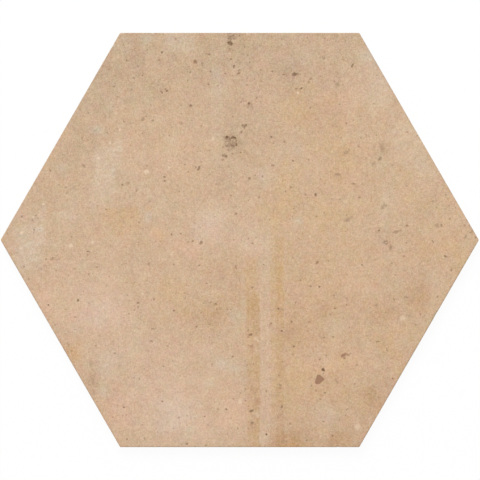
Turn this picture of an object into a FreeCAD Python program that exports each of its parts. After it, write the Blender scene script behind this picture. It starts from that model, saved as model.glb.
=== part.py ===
"""Hexagonal floor tile, pressed and fired in one piece.

The tile lies face up on its back, as it is laid. The origin is the middle of the back, +Z points out of the
face, +X points to a corner and +Y to the middle of a side. Sizes are in millimetres, and leans in degrees.

The wall stands upright below the face and then draws in towards the back, so that the tile leaves its press.
The back is keyed for the mortar: shallow hexagonal recesses lie in rings round the middle one, with a rib
between each recess and the next, and a plain rim all round.
"""

import FreeCAD
import Part
import Sketcher

import math
import os

# Driving sizes: name, value, meaning.
SIZES = [
    ("across_flats", 285.0, "from one side of the tile to the opposite side"),
    ("thickness", 9.0, "from the back to the face"),
    ("corner_radius", 1.2, "rounding of the six upright corners"),
    ("arris_radius", 0.8, "rounded edge round the face"),
    ("upright_band", 5.0, "height of the upright wall below the face"),
    ("wall_draft", 5.0, "lean of the wall below that band"),
    ("back_chamfer", 0.5, "broken edge round the back"),
    ("back_rim", 9.0, "least width of the plain rim, from the tile's side to a recess"),
    ("key_pitch", 33.0, "from the middle of one recess to the middle of the next"),
    ("key_rib", 4.5, "width of the rib between two recesses, on the back's plane"),
    ("key_depth", 0.8, "depth of a recess"),
    ("key_draft", 30.0, "lean of a recess's walls"),
    ("key_corner", 3.5, "rounding of a recess's corners, on the back's plane"),
]

# What follows from the driving sizes, as expressions on the sheet.
FOOT_HEIGHT = "Sizes.thickness - Sizes.upright_band"
KEY_WIDTH = "Sizes.key_pitch - Sizes.key_rib"
RING_STEP = "Sizes.key_pitch * cos(30 deg)"
OUTER_RING = f"Sizes.across_flats / 2 - Sizes.back_rim - ({KEY_WIDTH}) / 2 / cos(30 deg)"
RINGS = f"floor(({OUTER_RING}) / ({RING_STEP}))"

SIDES = 6
SIDE_ANGLE = 2 * math.pi / SIDES
CORNER_ON_X = 0.0
CORNER_ON_Y = math.pi / 2
# The rings are one block of rows and columns of recesses, set three times round the middle one.
BLOCKS = 3
LEVEL_TOLERANCE = 1e-4

# Points of a line or an arc in a sketch, and the number of the sketch's own origin and axes.
START, END, MIDDLE = 1, 2, 3
SKETCH_ORIGIN, SKETCH_X, SKETCH_Y = -1, -1, -2

doc = FreeCAD.newDocument("hexagon_floor_tile")


def make_sheet():
    """One row of the spreadsheet for each driving size, with the size's name as the cell's alias."""
    made = doc.addObject("Spreadsheet::Sheet", "Sizes")
    for row, (alias, value, meaning) in enumerate(SIZES, start=1):
        made.set(f"A{row}", alias)
        made.set(f"B{row}", str(value))
        made.set(f"C{row}", meaning)
        made.setAlias(f"B{row}", alias)
    doc.recompute()
    return made


def value_of(expression):
    """The number that an expression on the sheet gives now."""
    found = sheet.evalExpression(expression)
    return float(getattr(found, "Value", found))


def origin_feature(body, role):
    """One of the body's own origin planes or axes."""
    return next(feature for feature in body.Origin.OriginFeatures if feature.Role == role)


def add_sketch(body, name):
    """A sketch on the body's own XY plane."""
    sketch = body.newObject("Sketcher::SketchObject", name)
    sketch.AttachmentSupport = (origin_feature(body, "XY_Plane"), [""])
    sketch.MapMode = "FlatFace"
    return sketch


def drive(sketch, rule, name, expression):
    """Adds a constraint with a size, names it and ties it to an expression on the sheet."""
    number = sketch.addConstraint(rule)
    sketch.renameConstraint(number, name)
    sketch.setExpression(f"Constraints.{name}", expression)


def draw_rounded_hexagon(sketch, across_flats, corner_radius, first_corner):
    """Draws a regular hexagon with rounded corners round the sketch's origin, fully constrained.

    The two sizes are expressions on the sheet. first_corner is CORNER_ON_X or CORNER_ON_Y. Returns the numbers
    of the hexagon's sides, the first of which follows the first corner anticlockwise.
    """
    flats, radius = value_of(across_flats), value_of(corner_radius)
    upward = FreeCAD.Vector(0, 0, 1)
    bend_reach = (flats / 2 - radius) / math.cos(SIDE_ANGLE / 2)

    arcs = []
    for corner in range(SIDES):
        angle = first_corner + corner * SIDE_ANGLE
        centre = FreeCAD.Vector(math.cos(angle), math.sin(angle), 0) * bend_reach
        circle = Part.Circle(centre, upward, radius)
        arcs.append(Part.ArcOfCircle(circle, angle - SIDE_ANGLE / 2, angle + SIDE_ANGLE / 2))
    lines = [Part.LineSegment(arcs[i].EndPoint, arcs[(i + 1) % SIDES].StartPoint) for i in range(SIDES)]

    bends = sketch.addGeometry(arcs, False)
    sides = sketch.addGeometry(lines, False)
    ring = sketch.addGeometry(Part.Circle(FreeCAD.Vector(), upward, bend_reach), True)

    corner_axis = SKETCH_X if first_corner == CORNER_ON_X else SKETCH_Y
    rules = [
        Sketcher.Constraint("Coincident", ring, MIDDLE, SKETCH_ORIGIN, START),
        Sketcher.Constraint("PointOnObject", bends[0], MIDDLE, corner_axis),
    ]
    for i in range(SIDES):
        rules.append(Sketcher.Constraint("Tangent", bends[i], END, sides[i], START))
        rules.append(Sketcher.Constraint("Tangent", sides[i], END, bends[(i + 1) % SIDES], START))
        rules.append(Sketcher.Constraint("PointOnObject", bends[i], MIDDLE, ring))
    for i in range(1, SIDES):
        rules.append(Sketcher.Constraint("Equal", bends[0], bends[i]))
        rules.append(Sketcher.Constraint("Equal", sides[0], sides[i]))
    sketch.addConstraint(rules)

    opposite = sides[SIDES // 2]
    drive(sketch, Sketcher.Constraint("Radius", bends[0], radius), "corner_bend", corner_radius)
    drive(sketch, Sketcher.Constraint("Distance", sides[0], START, opposite, flats), "width", across_flats)
    return sides


def draw_row_direction(sketch, side):
    """Draws a construction line from the sketch's origin square to one side, as the way that a row runs."""
    angle = CORNER_ON_Y + SIDE_ANGLE / 2
    side_middle = FreeCAD.Vector(math.cos(angle), math.sin(angle), 0) * (value_of(KEY_WIDTH) / 2)
    spoke = sketch.addGeometry(Part.LineSegment(FreeCAD.Vector(), side_middle), True)
    sketch.addConstraint(
        [
            Sketcher.Constraint("Coincident", spoke, START, SKETCH_ORIGIN, START),
            Sketcher.Constraint("PointOnObject", spoke, END, side),
            Sketcher.Constraint("Perpendicular", spoke, side),
        ]
    )


def lies_at(piece, level):
    """Whether an edge or a face lies flat at a level."""
    box = piece.BoundBox
    return abs(box.ZMin - level) < LEVEL_TOLERANCE and abs(box.ZMax - level) < LEVEL_TOLERANCE


def edges_at(shape, level):
    """The names of the edges that lie flat at a level."""
    return [f"Edge{number}" for number, edge in enumerate(shape.Edges, start=1) if lies_at(edge, level)]


def add_blank(body):
    """The pressed blank: an upright band below the face, on a foot that draws in towards the back."""
    outline = add_sketch(body, "outline")
    draw_rounded_hexagon(outline, "Sizes.across_flats", "Sizes.corner_radius", CORNER_ON_X)
    outline.setExpression(".AttachmentOffset.Base.z", FOOT_HEIGHT)

    band = body.newObject("PartDesign::Pad", "upright_band")
    band.Profile = outline
    band.setExpression("Length", "Sizes.upright_band")

    foot = body.newObject("PartDesign::Pad", "drawn_in_foot")
    foot.Profile = outline
    foot.Reversed = True
    foot.setExpression("Length", FOOT_HEIGHT)
    foot.setExpression("TaperAngle", "-Sizes.wall_draft")
    doc.recompute()
    return foot


def ease_edges(body, blank):
    """Rounds the arris round the face and breaks the edge round the back."""
    arris = body.newObject("PartDesign::Fillet", "face_arris")
    arris.Base = (blank, edges_at(blank.Shape, value_of("Sizes.thickness")))
    arris.setExpression("Radius", "Sizes.arris_radius")
    doc.recompute()

    back_edge = body.newObject("PartDesign::Chamfer", "back_edge")
    back_edge.Base = (arris, edges_at(arris.Shape, 0))
    back_edge.setExpression("Size", "Sizes.back_chamfer")
    doc.recompute()
    return back_edge


def add_recess(body, name, steps_from_middle):
    """One recess in the back, with leaning walls, some whole pitches along X from the middle of the back."""
    outline = add_sketch(body, f"{name}_outline")
    sides = draw_rounded_hexagon(outline, KEY_WIDTH, "Sizes.key_corner", CORNER_ON_Y)
    draw_row_direction(outline, sides[0])
    outline.setExpression(".AttachmentOffset.Base.x", f"{steps_from_middle} * Sizes.key_pitch")

    recess = body.newObject("PartDesign::Pocket", name)
    recess.Profile = outline
    recess.Reversed = True
    recess.setExpression("Length", "Sizes.key_depth")
    recess.setExpression("TaperAngle", "-Sizes.key_draft")
    doc.recompute()
    return recess


def add_row(body, name, direction, count):
    """One step of the recesses' pattern: copies a pitch apart. count is an expression on the sheet."""
    row = body.newObject("PartDesign::LinearPattern", name)
    row.Direction = direction
    row.Mode = "Spacing"
    row.setExpression("Offset", "Sizes.key_pitch")
    row.setExpression("Occurrences", count)
    return row


def add_rings(body, first):
    """Repeats the first recess beside the middle one into as many rings as the rim leaves room for."""
    rings = body.newObject("PartDesign::MultiTransform", "recess_rings")
    rings.Originals = [first]
    rings.Refine = False
    outline = first.Profile[0]
    outwards = add_row(body, "outward_row", (outline, ["H_Axis"]), RINGS)
    along = add_row(body, "row_along_side", (outline, ["Axis0"]), f"{RINGS} + 1")
    turns = body.newObject("PartDesign::PolarPattern", "turned_blocks")
    turns.Axis = (origin_feature(body, "Z_Axis"), [""])
    turns.Angle = 360
    turns.Occurrences = BLOCKS
    rings.Transformations = [outwards, along, turns]
    body.Tip = rings
    doc.recompute()
    return rings


def check_recesses(blank, middle, rings):
    """Stops if the recesses cut away more or less than their number says."""
    count = 1 + BLOCKS * value_of(RINGS) * (value_of(RINGS) + 1)
    one = blank.Shape.Volume - middle.Shape.Volume
    all_recesses = blank.Shape.Volume - rings.Shape.Volume
    if one <= 0 or abs(all_recesses / one - count) > 0.01:
        raise ValueError(f"{all_recesses / one:.2f} recesses are cut, and not {count:.0f}")
    print(f"{count:.0f} recesses, {rings.Shape.Volume:.0f} cubic millimetres in all")


def check_document():
    """Stops if any feature failed or the tile isn't one valid solid."""
    failed = [item.Label for item in doc.Objects if {"Invalid", "Error"} & set(item.State)]
    if failed:
        raise ValueError(f"these features failed: {failed}")
    shape = tile.Shape
    if shape.isNull() or not shape.isValid() or len(shape.Solids) != 1:
        raise ValueError("the tile isn't one valid solid")


sheet = make_sheet()
tile = doc.addObject("PartDesign::Body", "hexagon_tile")
eased_blank = ease_edges(tile, add_blank(tile))
middle_recess = add_recess(tile, "middle_recess", 0)
first_recess = add_recess(tile, "first_recess", 1)
recess_rings = add_rings(tile, first_recess)
check_recesses(eased_blank, middle_recess, recess_rings)
check_document()

os.makedirs("parts", exist_ok=True)
tile.Shape.exportStep(f"parts/{tile.Label}.step")
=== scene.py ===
"""Hexagonal floor tile, fired in one piece: a matt stained face on a paler body with a keyed back.

The tile is one closed mesh. Its walls, arris and face are made from the tile's outline and section, finer
where there is a pit, and its back has the recesses of the solid. Relief only ever cuts into the tile, so
that it stays inside its box. Everything is in metres in the tile's own frame, and the face is seen from
straight above with +X to the right.
"""

import math
from typing import NamedTuple

import bmesh
import bpy
import numpy as np
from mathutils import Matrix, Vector, noise
from mathutils.geometry import delaunay_2d_cdt


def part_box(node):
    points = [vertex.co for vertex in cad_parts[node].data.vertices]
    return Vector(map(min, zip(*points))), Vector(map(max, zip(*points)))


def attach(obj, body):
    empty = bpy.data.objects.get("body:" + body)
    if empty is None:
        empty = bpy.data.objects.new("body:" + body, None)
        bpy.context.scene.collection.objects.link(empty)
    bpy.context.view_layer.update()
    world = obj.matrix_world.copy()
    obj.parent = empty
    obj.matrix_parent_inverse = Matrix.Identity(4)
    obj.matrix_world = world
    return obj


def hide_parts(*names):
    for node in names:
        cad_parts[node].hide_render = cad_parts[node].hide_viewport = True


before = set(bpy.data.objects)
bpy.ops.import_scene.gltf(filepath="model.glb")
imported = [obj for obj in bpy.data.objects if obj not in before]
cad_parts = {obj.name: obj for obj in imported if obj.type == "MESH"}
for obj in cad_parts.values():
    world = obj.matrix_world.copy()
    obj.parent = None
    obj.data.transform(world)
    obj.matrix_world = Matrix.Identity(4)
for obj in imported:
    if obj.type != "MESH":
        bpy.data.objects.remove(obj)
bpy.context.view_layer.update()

MM = 0.001
CAD_NODE = "hexagon_tile"
SIDES = 6
SIDE_ANGLE = 2 * math.pi / SIDES

# Outline and section of the tile
part_low, part_high = (Vector(corner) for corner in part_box(CAD_NODE))
APOTHEM = (part_high.y - part_low.y) / 2
THICKNESS = part_high.z - part_low.z
CORNER_RADIUS = 1.25 * MM
ARRIS_RADIUS = 0.8 * MM
UPRIGHT_BAND = 5.0 * MM
WALL_DRAFT = math.radians(5)
BACK_CHAMFER = 0.5 * MM
FACE_EDGE = 2.0 * MM
ARRIS_FOOT = THICKNESS - ARRIS_RADIUS
BAND_FOOT = THICKNESS - UPRIGHT_BAND

# Recesses of the back, with the small roundings that pressing leaves at their rims and floors
RECESS_PITCH = 33.0 * MM
RECESS_RIB = 4.5 * MM
RECESS_DEPTH = 0.8 * MM
RECESS_DRAFT = math.radians(30)
RECESS_CORNER = 3.5 * MM
RECESS_RINGS = 4
RIM_ROUNDING = 0.25 * MM
FLOOR_ROUNDING = 0.2 * MM

# The shape of those roundings, as shares of their size
ROUNDING_RISE = 0.7
ROUNDING_KNEE = 0.35
RIM_KNEE_RISE = 0.2
FLOOR_KNEE_DROP = 0.12

# Divisions of the mesh
SIDE_STEPS = 96
CORNER_STEPS = 6
FOOT_STEPS = 3
BAND_STEPS = 3
ARRIS_STEPS = 6
RECESS_SIDE_STEPS = 2
RECESS_CORNER_STEPS = 4

# The angle below which edges are smooth, and how near points and heights count as the same
SMOOTH_BELOW = math.radians(42)
SAME_POINT = 1e-7
SLACK = 0.1 * MM

# The triangulation's mode that keeps only what lies inside the loops
ONLY_INSIDE = 1

# Triangles are finer at a mark: their size in it, and how fast they grow away from it
FINEST_STEP = 0.3 * MM
WIDEST_STEP = 1000 * MM
STEPS_ACROSS_PIT = 6
STEP_GROWTH = 0.4
GROWTH_REACH = 4 * MM
SPLIT_ABOVE = 1.4
SPLIT_PASSES = 4

# The photograph's frame: its size, and where the tile's middle is in it
PHOTO_SIZE = 480
TILE_MIDDLE = (239.7, 240.0)
TILE_PIXELS = 478
PIXEL = (part_high.x - part_low.x) / TILE_PIXELS

# The seed of the random draws, and how much further the noise is shifted upward
SEED = 11
NOISE_APART = 2.3


class Mark(NamedTuple):
    """An oval mark in the photograph's pixels. Dark is 0 to 1, and it turns anticlockwise, in degrees."""

    across: float
    down: float
    length: float
    width: float
    dark: float
    turn: float = 0


class Patch(NamedTuple):
    """A soft cloud of one tint, in the photograph's pixels."""

    across: float
    down: float
    reach_across: float
    reach_down: float
    strength: float


class Stretch(NamedTuple):
    """A stretch of stain with straight sides, in the photograph's pixels, and how softly they fade."""

    left: float
    right: float
    top: float
    bottom: float
    strength: float
    soft_left: float = 2
    soft_right: float = 2
    soft_ends: float = 4


def table(kind, *rows):
    """A list of things of one kind, from rows that give their numbers in the order above."""
    return [kind(*row) for row in rows]


# Open pits in the face, with a dark floor
PITS = table(
    Mark,
    (229.9, 43.4, 5.6, 4.4, 0.82, 152), (228, 33.5, 3, 1.6, 0.25, 20), (230.5, 37, 3, 2.6, 0.25, 100),
    (233.4, 35.7, 2.6, 2, 0.25), (230.5, 39.3, 4, 1.6, 0.2, 150), (234.3, 39.5, 3, 2, 0.25, 90),
    (229.7, 49, 2, 1.8, 0.3), (249.6, 62.5, 2.4, 2, 0.4, 90), (239, 70.2, 3.2, 1.5, 0.35, 30),
    (238.8, 73.6, 4, 1.6, 0.4, 20), (261, 70.2, 2, 1.8, 0.4), (272.4, 71.5, 2.4, 1.8, 0.45, 150),
    (271.5, 36.5, 2.8, 1.6, 0.3, 90), (231, 59, 2.5, 2, 0.55), (234, 66.5, 3.5, 2.2, 0.65, 80),
    (162, 52.5, 3, 2.4, 0.68, 45), (159, 60, 2.5, 2, 0.4, 60), (126.5, 60.5, 2.6, 2.2, 0.5),
    (209.5, 54.5, 2.8, 2.2, 0.5), (294.5, 74.5, 7, 4, 0.72, 8), (284, 74.5, 4, 1.6, 0.65, 10),
    (352.5, 65.5, 4.8, 2.2, 0.63, 70), (325, 38.5, 2.4, 1.8, 0.4, 20), (244.5, 47, 2, 1.8, 0.35),
    (190.5, 105.5, 3.4, 2.8, 0.65, 15), (167, 91, 2.8, 2.4, 0.65, 10), (208.5, 84.5, 2.2, 1.8, 0.5),
    (218, 86, 2.2, 1.8, 0.4, 90), (249, 103.6, 3.4, 2.4, 0.65, 40), (241, 102.3, 2.6, 2.2, 0.4),
    (242.7, 125.5, 3.4, 1.9, 0.5, 65), (244.2, 127, 2.6, 1.8, 0.42, 130),
    (245.6, 125.6, 4, 1.8, 0.58, 52), (310.5, 108, 3, 1.8, 0.45, 60), (241.5, 132, 3, 1.8, 0.45, 60),
    (271.5, 137, 3.6, 2.6, 0.55, 165), (273.5, 143.5, 2.6, 1.2, 0.5), (284.5, 142, 2, 2, 0.5),
    (223.2, 155.8, 3, 1.9, 0.45, 60), (225.8, 156.7, 3.4, 2.2, 0.55, 165),
    (224.6, 154.3, 3, 1.4, 0.3, 20), (223.3, 160, 2.2, 1.8, 0.4, 60), (232.7, 153.7, 2.4, 2, 0.35),
    (293, 161, 2.4, 2.2, 0.55), (272, 165.5, 2, 2, 0.4), (249.5, 178.5, 3, 2.2, 0.6, 50),
    (262.5, 176.5, 3, 1.4, 0.4, 100), (164.5, 177, 2.8, 2.2, 0.65), (164.5, 181, 2.6, 2, 0.5),
    (122.5, 185, 2.6, 2.2, 0.4, 30), (128.5, 183.5, 4, 2.4, 0.35, 50), (136.5, 191, 2, 1.8, 0.4),
    (315.5, 195, 2.8, 2.8, 0.72), (305.5, 194.5, 2.4, 2, 0.45), (358.5, 146.5, 2.2, 2, 0.4),
    (359.5, 197.5, 2.6, 1.8, 0.45, 30), (392.5, 165.5, 2, 1.6, 0.35), (450, 219, 2.4, 1.8, 0.5),
    (433, 201.5, 2, 1.8, 0.35), (407.5, 226, 2.4, 2, 0.4), (379, 230.5, 2.4, 2, 0.5),
    (404, 256.5, 2.6, 2, 0.45), (451.5, 270.5, 2.4, 2, 0.5), (362, 265, 2.2, 2, 0.45),
    (236, 214, 3, 2, 0.6, 20), (201, 243, 4.4, 3.4, 0.58, 35), (193, 241.5, 2.2, 2, 0.45),
    (171.5, 234.5, 2.2, 1.8, 0.6, 90), (252.5, 243.5, 2.8, 1.6, 0.55, 160), (34, 230, 2.2, 2, 0.35),
    (71.5, 237, 2.2, 1.6, 0.3, 90), (88, 251.5, 3, 1.6, 0.6), (87.5, 255, 2, 1.6, 0.35),
    (46, 259.5, 2.6, 2, 0.5, 60), (78, 300.5, 2.8, 2.8, 0.8), (48.5, 305, 2, 2, 0.6, 90),
    (24, 267, 2, 1.8, 0.3), (138, 303, 3, 2, 0.6), (138, 307, 2.4, 1.8, 0.4), (174, 311, 2.2, 2, 0.6),
    (129, 314, 2.4, 1.8, 0.35, 160), (206.5, 283.5, 2.8, 1.4, 0.45), (252.5, 287.5, 2.6, 2, 0.5, 160),
    (317.5, 262.5, 2.6, 2.4, 0.55), (319.5, 287, 2.2, 2.2, 0.65), (310.5, 286.5, 2.4, 2, 0.45),
    (335, 308.5, 2.2, 2, 0.5), (330, 314.5, 2, 1.8, 0.4), (278.5, 309, 2.6, 2, 0.5, 150),
    (291.5, 322, 3, 2, 0.5, 80), (281.5, 331, 2.6, 2.2, 0.6, 45), (250.5, 335, 5, 2.6, 0.56, 25),
    (294, 346.5, 2.8, 2, 0.65, 80), (333, 337, 2.2, 2, 0.45), (379, 342, 2.6, 1.6, 0.5),
    (232.5, 356.5, 2.2, 2, 0.5), (253.5, 364, 2.2, 2, 0.45), (323, 370, 4.8, 3.4, 0.9, 130),
    (323.5, 373.5, 1.8, 1.4, 0.5, 60), (320, 359.5, 2, 2, 0.5), (326.5, 355.8, 2.2, 2, 0.4),
    (350.6, 353.8, 2.2, 1.8, 0.35), (357.5, 365.5, 2.6, 1.4, 0.4), (325, 393, 2.2, 2, 0.42),
    (320, 399.5, 2.2, 1.4, 0.45, 150), (311.5, 386, 2, 2, 0.4), (348, 409, 2, 1.8, 0.3),
    (151.5, 341.5, 3.2, 2.2, 0.45), (115, 353.5, 2.6, 1.8, 0.5), (139.5, 379, 3, 1.8, 0.5, 60),
    (124, 407.5, 2.2, 2, 0.66), (162, 401.5, 2.2, 1.8, 0.55), (205, 416.5, 2.4, 1.8, 0.4),
    (226.5, 409.5, 2.2, 2, 0.55), (245.5, 401, 2, 2, 0.5, 110), (251.5, 411, 5, 2.6, 0.6, 20),
    (282, 407, 2.8, 2.6, 0.56, 55), (266.5, 434.5, 2.5, 2.3, 0.9), (238, 428.5, 2.4, 1.6, 0.5, 60),
    (290, 424, 2, 2, 0.45), (323.5, 421.5, 2.8, 1.6, 0.4), (332.5, 435.5, 2.2, 2.2, 0.55),
    (187, 444, 2.8, 2.4, 0.5, 15), (206, 445.5, 2.2, 1.8, 0.4), (127, 439, 3, 1.8, 0.5, 110),
    (144.5, 438.5, 3, 2, 0.4, 90), (309, 82.5, 2, 1.8, 0.4), (342.8, 84.7, 1.8, 1.6, 0.3),
    (146.3, 116.7, 2, 1.8, 0.35), (437.4, 297, 2.4, 2, 0.45), (215.5, 304, 2.2, 1.8, 0.5),
    (203.5, 303.3, 2, 1.8, 0.35, 110), (210.5, 302.6, 1.8, 1.6, 0.3), (227.3, 309.3, 2.4, 1.8, 0.55),
    (231, 310, 2, 1.8, 0.35), (201, 313, 2, 1.8, 0.35), (209.5, 324.5, 2.8, 1.6, 0.4),
    (196.5, 327, 2.2, 2, 0.4, 100), (184.5, 293.5, 2, 1.6, 0.4), (138, 66.5, 2.2, 1.8, 0.4),
    (117, 97, 2, 1.8, 0.4), (113, 107, 2, 1.6, 0.35), (195.5, 62, 3.6, 3.2, 0.4),
)

# Narrow nicks and short grooves, and dark arcs of painted shade on the upper walls of a few pits
NICKS_AND_SHADE_ARCS = table(
    Mark,
    (161.5, 92, 5, 1.5, 0.6, 125), (84, 166.2, 6.5, 2, 0.5, 130), (199, 168, 6.5, 2.4, 0.6, 60),
    # (296.5, 89), (301, 88.5) and (353.5, 184) here, and (445.5, 256.5) below, are painted shade on pits'
    # upper walls
    (296.5, 89, 4, 1.4, 0.4, 165), (301, 88.5, 4, 1.5, 0.72, 20), (353.5, 184, 5, 1.9, 0.45, 165),
    (338, 174.5, 6.5, 2.6, 0.2), (445.5, 256.5, 5, 1.9, 0.6, 165), (136, 188, 4, 1.0, 0.25, 90),
    (236, 267.5, 4.5, 1.2, 0.45, 110), (173.5, 264.5, 3.5, 1.4, 0.35, 115),
    (153.5, 329, 4.6, 1.6, 0.4, 175), (68.5, 345, 5.5, 1.6, 0.35, 115), (94, 393.5, 4, 1.4, 0.3, 120),
    (387, 350, 5, 1.6, 0.35, 115), (280, 385, 5, 2, 0.45, 160), (221, 309.5, 3.5, 1.4, 0.35, 160),
    (347, 299, 5, 1.4, 0.25, 115), (310.5, 79, 4, 1.4, 0.4, 28), (334.5, 81.5, 3, 1.6, 0.35, 100),
    (394, 299.5, 3.2, 1.7, 0.4, 105), (406.5, 297.5, 5, 1.5, 0.3, 165), (433, 241.5, 5, 1.8, 0.4, 125),
)

# Flush or barely sunk spots of iron, reddish brown
RUST_SPOTS = table(
    Mark,
    (195.5, 62, 4.4, 4.2, 0.5), (337.5, 174.4, 7, 2.6, 0.42, 175), (343.6, 355.3, 5.6, 3.6, 0.95, 25),
    (347.6, 354.8, 5.2, 2.2, 0.65, 165), (344.5, 358, 3, 2.6, 0.7, 60),
    (251.5, 346.5, 4.2, 2.6, 0.55, 10), (252, 416, 2.4, 1.8, 0.4), (420.4, 314.1, 2.4, 2.2, 0.55, 100),
    (465, 225.3, 2.4, 2, 0.5), (259, 197.5, 3.4, 2.6, 0.5, 30), (257, 401, 9, 7, 0.28, 90),
    (251.5, 387.5, 7, 2.6, 0.3, 80),
)

# The flat red-brown chip at the lower right, by the corners of its outline
CHIP_CORNERS = [
    (317.2, 375),
    (320, 375),
    (324.7, 379.4),
    (319.6, 383.8),
    (316.6, 384.4),
    (314.9, 382.6),
]
CHIP_DARK = 0.95
CHIP_RIM_DARK = 0.35
CHIP_RIM = 0.4 * MM
CHIP_EDGE_SOFTNESS = 0.25 * MM

# Faint broken smudges of brown dust
SMUDGES = table(
    Mark,
    (231, 36.5, 11, 8, 0.55, 20), (232.5, 37, 8, 5, 0.4, 150), (249.8, 105, 6.5, 5, 0.5, 30),
    (245.5, 105.8, 4.5, 2, 0.35, 30), (243.3, 99.8, 3.4, 2, 0.4, 120), (244.3, 126, 6, 4.2, 0.4),
    (240.8, 132.3, 4.4, 2, 0.45, 55), (224.5, 155.8, 8, 5, 0.4, 165), (336.5, 381.5, 7, 3, 0.4, 110),
    (322.5, 385.3, 3, 2, 0.35), (323.5, 57.5, 4.5, 3.5, 0.6, 150), (337.5, 84, 5.5, 4.5, 0.5, 120),
    (251.5, 68, 4.5, 3.5, 0.35, 60), (239, 72, 5, 3, 0.4, 80), (143, 119, 5.5, 3, 0.65, 75),
    (181.5, 123.5, 4.5, 3, 0.35, 140), (346, 152.5, 6.5, 4, 0.6, 15), (349, 150, 3, 2.4, 0.5),
    (382, 147.5, 9, 4.5, 0.5, 90), (380, 159, 4.5, 3.4, 0.9, 45), (373.5, 164, 6, 3, 0.5, 70),
    (383, 206.5, 8, 4, 0.5, 75), (348, 220, 7, 4, 0.55, 15), (351.5, 217.5, 4, 2.4, 0.5, 40),
    (396, 232, 7, 3.6, 0.6, 20), (385.5, 242.5, 5, 4, 0.95, 45), (390.5, 248, 5, 4, 0.65, 85),
    (438, 225, 8.5, 3.8, 0.45, 25), (465.5, 237, 6, 2.8, 0.5, 75), (471.8, 231.7, 4.4, 2.8, 0.7, 45),
    (52, 258.5, 5, 3, 0.6, 40), (67, 192.5, 4, 2.8, 0.35, 40), (98, 206, 4, 3, 0.35, 150),
    (149, 264, 3.6, 3, 0.5), (282, 309.5, 4, 2.4, 0.4), (252, 423, 4.2, 3.2, 0.8, 20),
    (283, 442, 7, 3.4, 0.3, 15), (410.5, 316, 6, 5, 0.25, 20), (93, 381, 9, 3, 0.35, 115),
    (91, 363, 9, 5, 0.3, 90),
)

# The crusted hollow above the middle: its body, and dark marks along its upper and right rim
CRUST = Mark(230.5, 142.8, 14.5, 13, 0.6, 95)
# Those marks are partly crust and partly painted shade on the hollow's upper wall
CRUST_RIM_AND_SHADE = table(
    Mark,
    (227, 137, 3.8, 3.1, 1.0), (224.6, 138, 3, 2, 0.4, 100), (230, 138.7, 3, 2.4, 0.45, 100),
    (232, 137.6, 3.4, 1.9, 0.8, 50), (234.8, 137.8, 4, 2, 1.0, 150), (236.3, 140.5, 4, 1.5, 0.45, 95),
    (236.4, 144.7, 2.8, 1.9, 0.75, 90), (233, 145.7, 5, 1.7, 0.5, 160), (226.5, 146, 3.6, 2.8, 0.5, 60),
    (232.7, 148.2, 3.2, 1.5, 0.4, 160), (228, 150, 2.2, 1.8, 0.35, 100), (223, 147.4, 2.4, 1.8, 0.3),
)

# Pale flush grains, and one painted highlight
PALE_GRAINS_AND_HIGHLIGHT = table(
    Mark,
    (98.5, 158, 3.4, 3, 0.9), (43.5, 204, 2.6, 2, 0.9), (33.5, 217, 2, 3, 0.7),
    (21.5, 232.5, 3.2, 3, 1.0), (71, 245.5, 5, 4.4, 0.8, 60), (92.5, 242, 3, 2.6, 0.9),
    (169, 167.5, 2.8, 2.4, 0.8), (146.5, 171.5, 5.4, 4.4, 0.9, 30), (119.8, 129.9, 2.4, 2.6, 0.9),
    # (298, 93) is a painted highlight: the lit lower wall of the pit under the dark arc at (296.5, 89)
    (110, 142.5, 4, 1.8, 0.7, 85), (298, 93, 2.6, 2.2, 0.9), (142.5, 293.5, 3, 2.6, 0.7),
    (240, 401.5, 4, 5.8, 0.75), (256.5, 339.3, 7, 4, 0.5, 130), (257.5, 415.3, 6.6, 3.6, 0.4, 130),
    (357.5, 427, 6.6, 7, 0.62), (402.7, 318, 6.4, 6, 0.6, 30), (310, 236.5, 2.2, 2.2, 0.7),
    (213, 138, 3, 4.5, 0.7),
)
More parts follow.
